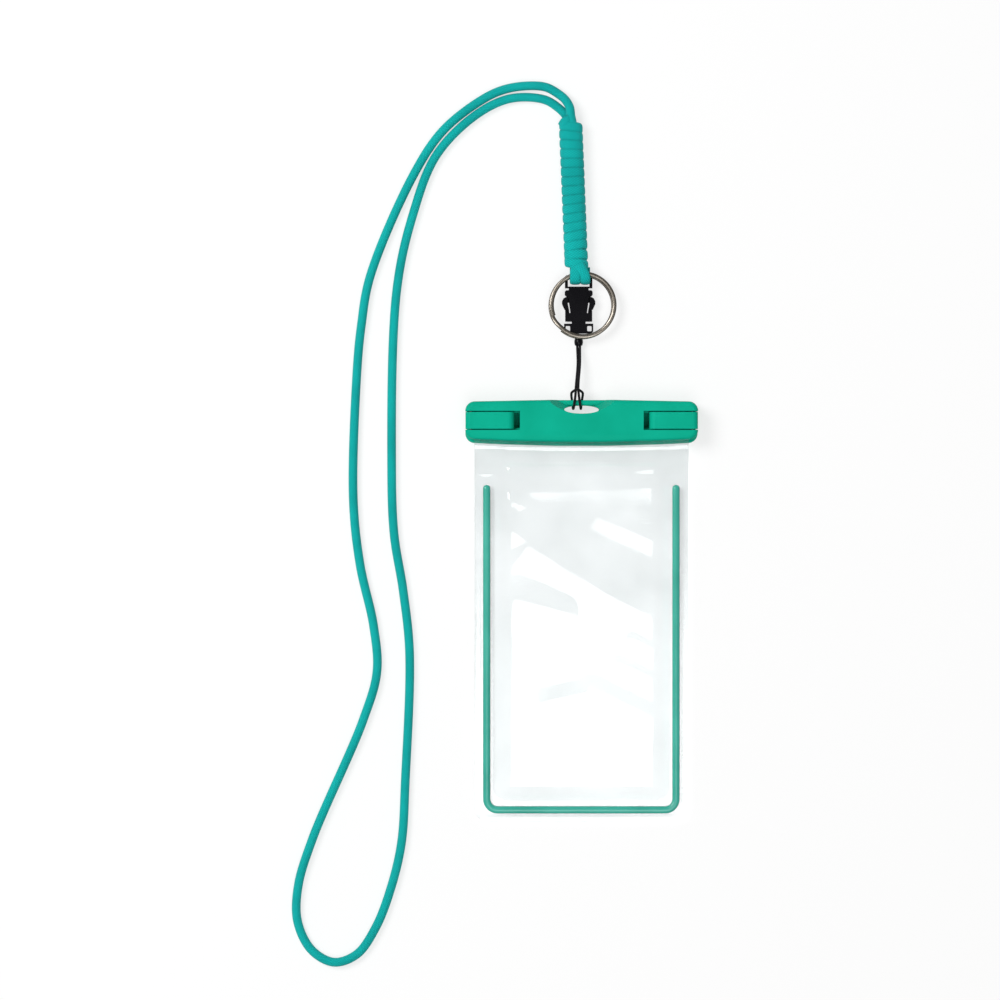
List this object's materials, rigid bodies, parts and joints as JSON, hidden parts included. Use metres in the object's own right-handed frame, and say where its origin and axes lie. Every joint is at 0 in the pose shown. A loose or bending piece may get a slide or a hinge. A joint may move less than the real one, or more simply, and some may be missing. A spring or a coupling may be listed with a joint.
{
  "type": "waterproof phone pouch",
  "caption": "clear film phone pouch with a green clip bar, latches, green trim bead, tether, side-release buckle, split ring, braided sleeve and teal neck cord",
  "frame": {"origin": "middle of the pouch's footprint, on the surface that it lies on", "axes": "+X along the clip bar to the wearer's left, +Y up the pouch towards the lanyard, +Z out of the front"},
  "size_m": [0.1923, 0.4198, 0.015],
  "materials": {
    "clip_green": "satin moulded",
    "pin_steel": "drawn",
    "seal": "moulded silicone",
    "film": "clear flexible film",
    "trim_green": "soft moulded bead",
    "tether_black": "fine braid",
    "buckle_black": "gloss moulded",
    "cord_teal": "braided sheath",
    "ring_nickel": "dark nickel plate"
  },
  "bodies": {
    "pouch": {"rear_shell": "clip_green", "front_shell": "clip_green", "left_latch_pin": "pin_steel", "right_latch_pin": "pin_steel", "rear_seal_strip": "seal", "front_seal_strip": "seal", "rear_sheet": "film", "front_sheet": "film", "trim_bead": "trim_green", "tether_cord": "tether_black", "tether_bead": "buckle_black", "buckle_plug": "buckle_black"},
    "left_latch": {"left_latch": "clip_green"},
    "right_latch": {"right_latch": "clip_green"},
    "lanyard": {"buckle_socket": "buckle_black", "bar_loop": "cord_teal", "braided_sleeve": "cord_teal", "lanyard_cord": "cord_teal"},
    "ring": {"split_ring": "ring_nickel"}
  },
  "joints": [
    {"name": "left_latch_hinge", "type": "hinge", "parent": "pouch", "child": "left_latch", "pos_m": [-0.0521, 0.0902, 0.0038], "axis": [0, -1, 0], "range_deg": [0, 90]},
    {"name": "right_latch_hinge", "type": "hinge", "parent": "pouch", "child": "right_latch", "pos_m": [0.0521, 0.0902, 0.0038], "axis": [0, 1, 0], "range_deg": [0, 90]},
    {"name": "buckle_release", "type": "slide", "parent": "pouch", "child": "lanyard", "axis": [0, 1, 0], "range_m": [0, 0.018], "deforming": ["buckle_plug"]},
    {"name": "ring_swing", "type": "hinge", "parent": "lanyard", "child": "ring", "pos_m": [0.0005, 0.15965, 0.00575], "axis": [-1, 0, 0], "range_deg": [0, 120]}
  ]
}
